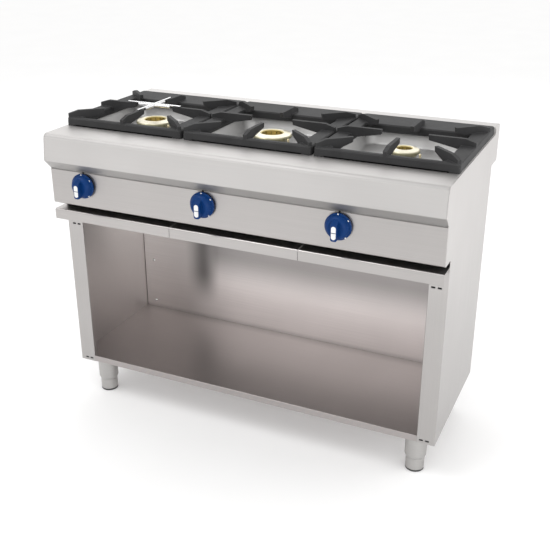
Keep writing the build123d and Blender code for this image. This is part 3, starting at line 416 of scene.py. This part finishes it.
def burner_cast():
    """Grey casting whose middle, under the crown, is machined to bare brass."""
    metal = casting("burner_cast", (0.55, 0.54, 0.52), (0.4, 0.55))
    metal.blend(metal.spread(metal.from_burner(), 1.0, 0.0, *CORE_R), CORE_BRASS)
    return metal.mat


def plastic(name, color, rough=(0.34, 0.46), edge=0.0012, glint=0.3):
    """Moulded plastic or print: a fine grain under a faint cloud."""
    moulded = Shader(name, color, sum(rough) / 2)
    moulded.glint(glint)
    grain = moulded.noise(scale=1500.0, detail=2.0)
    cloud = moulded.noise(scale=60.0, detail=2.0)
    moulded.tone(moulded.spread(cloud, 0.94, 1.06))
    moulded.rough(moulded.spread(grain, *rough))
    moulded.relief(grain, strength=0.06, distance=0.00015, edge=edge)
    return moulded.mat


def leg_steel():
    """Satin turned steel whose lowest rim is a dark ring."""
    steel = Shader("leg_steel", (0.46, 0.45, 0.44), 0.4, metallic=1.0)
    turned = steel.noise(scale=1.0, detail=2.0, stretch=(4, 4, 900))
    steel.tone(steel.spread(turned, 0.96, 1.04))
    ring = steel.spread(steel.axis("Z"), 1.0, 0.0, *FOOT_RING_Z)
    steel.blend(ring, (0.02, 0.02, 0.02))
    steel.link(steel.shade(ring, 0.0), steel.bsdf.inputs["Metallic"])
    steel.rough(steel.spread(turned, 0.34, 0.46))
    steel.relief(turned, strength=0.05, distance=0.0001, edge=0.001)
    return steel.mat


def dress(names, material):
    """Gives some CAD nodes a material."""
    for name in names:
        for slot in nodes[name].material_slots:
            slot.link = "OBJECT"
            slot.material = material


def of_each(*kinds):
    """Names of the nodes of some kinds at each of the three places."""
    return [f"{side}_{kind}" for kind in kinds for side in SIDES]


# Materials of the CAD nodes; the stainless sheets' colours differ part by part as painted light and shade on
# one steel
dress(["worktop"], brushed("worktop_steel", (0.61, 0.595, 0.585), "x", (0.48, 0.60), 0.006,
                           (CHAMFER_SHADE, FRONT_SHADE), nose_painted_shade))
dress(["control_panel"], brushed("panel_steel", (0.49, 0.47, 0.46), "x", fades=(FRONT_SHADE,)))
dress(of_each("drip_tray"), brushed("tray_steel", (0.505, 0.485, 0.475), "x", fades=(FRONT_SHADE,)))
dress([f"{side}_side_panel" for side, sign in ENDS],
      brushed("side_steel", (0.572, 0.552, 0.541), "z", fades=(SIDE_SHADE, SIDE_LOW_SHADE)))
dress(["hob_rear_panel"], brushed("rear_steel", (0.58, 0.565, 0.555), "x"))
dress(["back_panel"], brushed("back_steel", (0.61, 0.575, 0.566), "x", tones=back_painted_light))
dress(["cabinet_floor"], brushed("floor_steel", (0.555, 0.515, 0.505), "x", fades=(LIP_SHADE, FOLD_SHADE)))
dress(["tray_rack"], brushed("rack_steel", (0.55, 0.54, 0.53), "y", (0.4, 0.5)))
dress(of_each("well"), brushed("well_steel", (0.66, 0.655, 0.65), "x", (0.50, 0.62), 0.003))
dress([f"{leg}_{piece}" for leg in LEGS for piece in ("leg_sleeve", "foot")], leg_steel())
dress(of_each("grate"), cast_iron())
dress(["reducer_cross"], brushed("cross_chrome", (0.82, 0.82, 0.83), "z", (0.12, 0.2)))
for side in SIDES:
    dress([f"{side}_burner_crown"], crown_brass(side))
dress(of_each("burner_body"), burner_cast())
dress(of_each("thermocouple"), brass("probe_brass", (0.80, 0.70, 0.46)))
dress(of_each("gas_tap", "tap_plug") + ["injectors"], brass("tap_brass", (0.72, 0.55, 0.28)))
dress(["gas_manifold", "inlet_pipe"] + of_each("spindle", "tap_spring"),
      brushed("pipe_steel", (0.5, 0.5, 0.5), "x", (0.35, 0.5)))
dress(of_each("supply_tube"), brushed("tube_metal", (0.70, 0.70, 0.71), "z", (0.3, 0.4)))
dress(of_each("knob"), plastic("knob_blue", (0.002, 0.033, 0.145), glint=0.14))
dress(of_each("knob_insert"), plastic("insert_white", (0.82, 0.82, 0.81), (0.35, 0.5)))

# Materials of the added pieces
white_print = plastic("white_print", (0.85, 0.85, 0.84), (0.4, 0.5), edge=0.0)
# Black print, also used for the painted shade behind the hinge slots and in the trays' seams
black_print_and_shade = plastic("black_print_and_shade", (0.012, 0.012, 0.013), (0.4, 0.5), edge=0.0)
# Near-black matt plastic for the painted shadow strips under the pan supports
shadow_black = plastic("shadow_black", (0.003, 0.003, 0.003), (0.7, 0.9), edge=0.0, glint=0.02)
plug_chrome = brushed("plug_chrome", (0.92, 0.92, 0.92), "z", (0.08, 0.14), edge=0.0)
spring_wire = brushed("spring_wire", (0.55, 0.55, 0.56), "y", (0.25, 0.35), edge=0.0)


def circle(count):
    """Angles round a circle in equal steps."""
    return [2 * math.pi * step / count for step in range(count)]


def join_rings(form, first, second):
    """Faces between two rings of as many points."""
    count = len(first)
    for k in range(count):
        after = (k + 1) % count
        form.faces.new((first[k], second[k], second[after], first[after]))


def as_piece(name, form, material, center=(0, 0, 0), smooth=True):
    """Makes a form an object of the scene, with its material."""
    bmesh.ops.recalc_face_normals(form, faces=form.faces)
    mesh = bpy.data.meshes.new(name)
    form.to_mesh(mesh)
    form.free()
    for face in mesh.polygons:
        face.use_smooth = smooth
    mesh.materials.append(material)
    piece = bpy.data.objects.new(name, mesh)
    piece.matrix_world = Matrix.Translation(center)
    bpy.context.scene.collection.objects.link(piece)
    return piece


def domed_dot(name, center, radius, rise, material):
    """A low dome on a face that looks towards -Y: a dot of print or the head of a plug."""
    form = bmesh.new()
    tip = form.verts.new((0, -rise, 0))
    rings = []
    for step in range(1, DOME_RINGS + 1):
        share = step / DOME_RINGS
        reach = radius * share
        height = rise * math.cos(share * math.pi / 2)
        rings.append([form.verts.new((reach * math.cos(angle), -height, reach * math.sin(angle)))
                      for angle in circle(DOME_SIDES)])
    inner = rings[0]
    for first, second in zip(inner, inner[1:] + inner[:1]):
        form.faces.new((tip, first, second))
    for inner, outer in zip(rings, rings[1:]):
        join_rings(form, inner, outer)
    form.faces.new(rings[-1][::-1])
    return as_piece(name, form, material, center)


def slab(name, center, size, material):
    """A small plate with softened edges."""
    form = bmesh.new()
    bmesh.ops.create_cube(form, size=1.0, matrix=Matrix.Diagonal((*size, 1)))
    bmesh.ops.bevel(form, geom=form.edges[:], offset=min(size) * PLATE_BEVEL,
                    segments=PLATE_BEVEL_STEPS, affect="EDGES")
    return as_piece(name, form, material, center, smooth=False)


def coil(name, low, high, material):
    """A compression spring along Y in a box, with its end turns lying flat."""
    along = Vector((0, 1, 0))
    center_x = (low[0] + high[0]) / 2
    center_z = (low[2] + high[2]) / 2
    radius = (high[0] - low[0]) / 2 - WIRE_R
    start = low[1] + WIRE_R
    travel = high[1] - low[1] - 2 * WIRE_R
    form = bmesh.new()
    rings = []
    for step in range(TURNS * STEPS_A_TURN + 1):
        turn = step / STEPS_A_TURN
        share = min(max((turn - END_TURN) / (TURNS - 2 * END_TURN), 0.0), 1.0)
        outward = Vector((math.cos(2 * math.pi * turn), 0, math.sin(2 * math.pi * turn)))
        middle = Vector((center_x, start + share * travel, center_z)) + radius * outward
        rings.append([form.verts.new(middle + WIRE_R * (math.cos(angle) * outward + math.sin(angle) * along))
                      for angle in circle(WIRE_SIDES)])
    for first, second in zip(rings, rings[1:]):
        join_rings(form, first, second)
    form.faces.new(rings[0])
    form.faces.new(rings[-1][::-1])
    return as_piece(name, form, material)


# Printed dots
for side in SIDES:
    low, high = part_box(f"{side}_knob")
    axis_x = (low[0] + high[0]) / 2
    axis_z = (low[2] + high[2]) / 2
    skirt_face = high[1] - SKIRT_THICK
    spot = (axis_x, PANEL_FACE, INDEX_Z)
    index = domed_dot(f"{side}_index_dot", spot, INDEX_R, DOT_RISE, black_print_and_shade)
    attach(index, "range")
    for hour in SKIRT_DOT_HOURS:
        turn = math.radians(DEGREES_AN_HOUR * hour)
        spot = (axis_x + SKIRT_DOT_R * math.sin(turn), skirt_face, axis_z + SKIRT_DOT_R * math.cos(turn))
        name = f"{side}_knob_dot_{hour:g}".replace(".", "_")
        dot = domed_dot(name, spot, DOT_R, DOT_RISE, white_print)
        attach(dot, f"{side}_knob")

# Hinge plates: painted shade behind the slots
for side, sign in ENDS:
    for level, height in zip(LEVELS, HINGE_HEIGHTS):
        spot = (sign * HINGE_X, PANEL_FACE + POST_BACK + HINGE_PLATE[1] / 2, height)
        plate = slab(f"{side}_{level}_hinge_plate", spot, HINGE_PLATE, black_print_and_shade)
        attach(plate, "range")

# Painted shadow strips under the pan supports' front bars
for side in SIDES:
    low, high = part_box(f"{side}_grate")
    size = (high[0] - low[0] - 2 * GAP_SHADOW_END, GAP_SHADOW_DEPTH, GAP_SHADOW_HIGH - GAP_SHADOW_LOW)
    spot = ((low[0] + high[0]) / 2, low[1] - GAP_SHADOW_PROUD + GAP_SHADOW_DEPTH / 2, low[2] + (GAP_SHADOW_LOW + GAP_SHADOW_HIGH) / 2)
    gap_shadow = slab(f"{side}_grate_gap_shadow", spot, size, shadow_black)
    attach(gap_shadow, f"{side}_grate")

# Painted shade in the seams between the trays' fronts, each on the end of an outer tray that faces the middle
# one
for side, sign in ENDS:
    low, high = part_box(f"{side}_drip_tray")
    inner_end = high[0] if side == "left" else low[0]
    spot = (inner_end - sign * (SEAM[0] / 2 - SEAM_LAP), low[1] + SEAM_SETBACK + SEAM[1] / 2,
            low[2] + SEAM_RISE + SEAM[2] / 2)
    seam = slab(f"{side}_tray_seam", spot, SEAM, black_print_and_shade)
    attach(seam, f"{side}_tray")

# Shelf plugs
for side, sign in ENDS:
    for level, height in zip(LEVELS, PLUG_HEIGHTS):
        spot = (sign * PLUG_X, BACK_FACE, BACK_FOOT + height)
        plug = domed_dot(f"{side}_{level}_shelf_plug", spot, PLUG_R, PLUG_RISE, plug_chrome)
        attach(plug, "range")

# Return springs: a wire coil for each plain sleeve in the taps
for side in SIDES:
    low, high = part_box(f"{side}_tap_spring")
    spring = coil(f"{side}_return_spring", low, high, spring_wire)
    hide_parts(f"{side}_tap_spring")
    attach(spring, f"{side}_plug")
    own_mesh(spring)


def seen_directly(tree):
    """One on rays from the camera, in reflections and through clear surfaces; zero on the rest."""
    path = tree.nodes.new("ShaderNodeLightPath")
    total = path.outputs["Is Camera Ray"]
    for name in ("Is Glossy Ray", "Is Transmission Ray"):
        either = tree.nodes.new("ShaderNodeMath")
        either.operation = "MAXIMUM"
        tree.links.new(total, either.inputs[0])
        tree.links.new(path.outputs[name], either.inputs[1])
        total = either.outputs[0]
    return total


def pale_floor():
    """Matt pale floor, lifted to the backdrop's white where it is seen directly."""
    pale = Shader("pale_floor", (0.90, 0.90, 0.90), 0.9)
    pale.tone(pale.spread(pale.noise(scale=3.0), 0.99, 1.01))
    pale.glint(0.0)
    pale.bsdf.inputs["Emission Color"].default_value = (1, 1, 1, 1)
    lift = pale.spread(seen_directly(pale.tree), 0.0, FLOOR_LIFT, 0.0, 1.0)
    pale.link(lift, pale.bsdf.inputs["Emission Strength"])
    return pale.mat


def softbox(name, place, aim, size, power):
    """A rectangular area lamp that looks at a point."""
    light = bpy.data.lights.new(name, "AREA")
    light.shape = "RECTANGLE"
    light.size, light.size_y = size
    light.energy = power
    lamp = bpy.data.objects.new(name, light)
    lamp.location = place
    lamp.rotation_euler = (Vector(aim) - Vector(place)).to_track_quat("-Z", "Y").to_euler()
    bpy.context.scene.collection.objects.link(lamp)


# Floor
floor_mesh = bpy.data.meshes.new("floor")
floor_mesh.from_pydata([(-FLOOR_HALF, -FLOOR_HALF, 0), (FLOOR_HALF, -FLOOR_HALF, 0),
                        (FLOOR_HALF, FLOOR_HALF, 0), (-FLOOR_HALF, FLOOR_HALF, 0)], [], [(0, 1, 2, 3)])
floor_mesh.materials.append(pale_floor())
floor = bpy.data.objects.new("floor", floor_mesh)
bpy.context.scene.collection.objects.link(floor)

# World: white where it is seen directly
world = bpy.data.worlds.new("studio")
world.use_nodes = True
backdrop = world.node_tree.nodes["Background"]
backdrop.inputs["Color"].default_value = (*WORLD_COLOR, 1)
strength = world.node_tree.nodes.new("ShaderNodeMapRange")
strength.inputs["To Min"].default_value = WORLD_LIGHT
strength.inputs["To Max"].default_value = 1.0
world.node_tree.links.new(seen_directly(world.node_tree), strength.inputs["Value"])
world.node_tree.links.new(strength.outputs["Result"], backdrop.inputs["Strength"])
bpy.context.scene.world = world

# Lamps
softbox("overhead", place=(-1.1, -1.3, 3.2), aim=(0, 0, 0.6), size=(2.0, 1.1), power=26)
softbox("right_side", place=(2.9, 0.9, 1.5), aim=(0.5, 0, 0.6), size=(1.6, 1.6), power=18)
softbox("front_fill", place=(2.3, -2.9, 0.8), aim=(-0.3, 0.2, 0.35), size=(1.6, 1.2), power=22)
softbox("behind", place=(-1.4, 3.4, 2.9), aim=(0, 0, 0.85), size=(3.6, 2.0), power=22)

# Camera
camera_data = bpy.data.cameras.new("camera")
camera_data.sensor_width = SENSOR
camera_data.lens = FOCAL_PX * SENSOR / IMAGE_SIDE
camera_data.shift_y = SHIFT_Y
camera = bpy.data.objects.new("camera", camera_data)
camera.location = CAMERA_AT
camera.rotation_euler = (CAMERA_AIM - CAMERA_AT).to_track_quat("-Z", "Y").to_euler()
bpy.context.scene.collection.objects.link(camera)
bpy.context.scene.camera = camera
bpy.context.scene.view_settings.view_transform = "Standard"
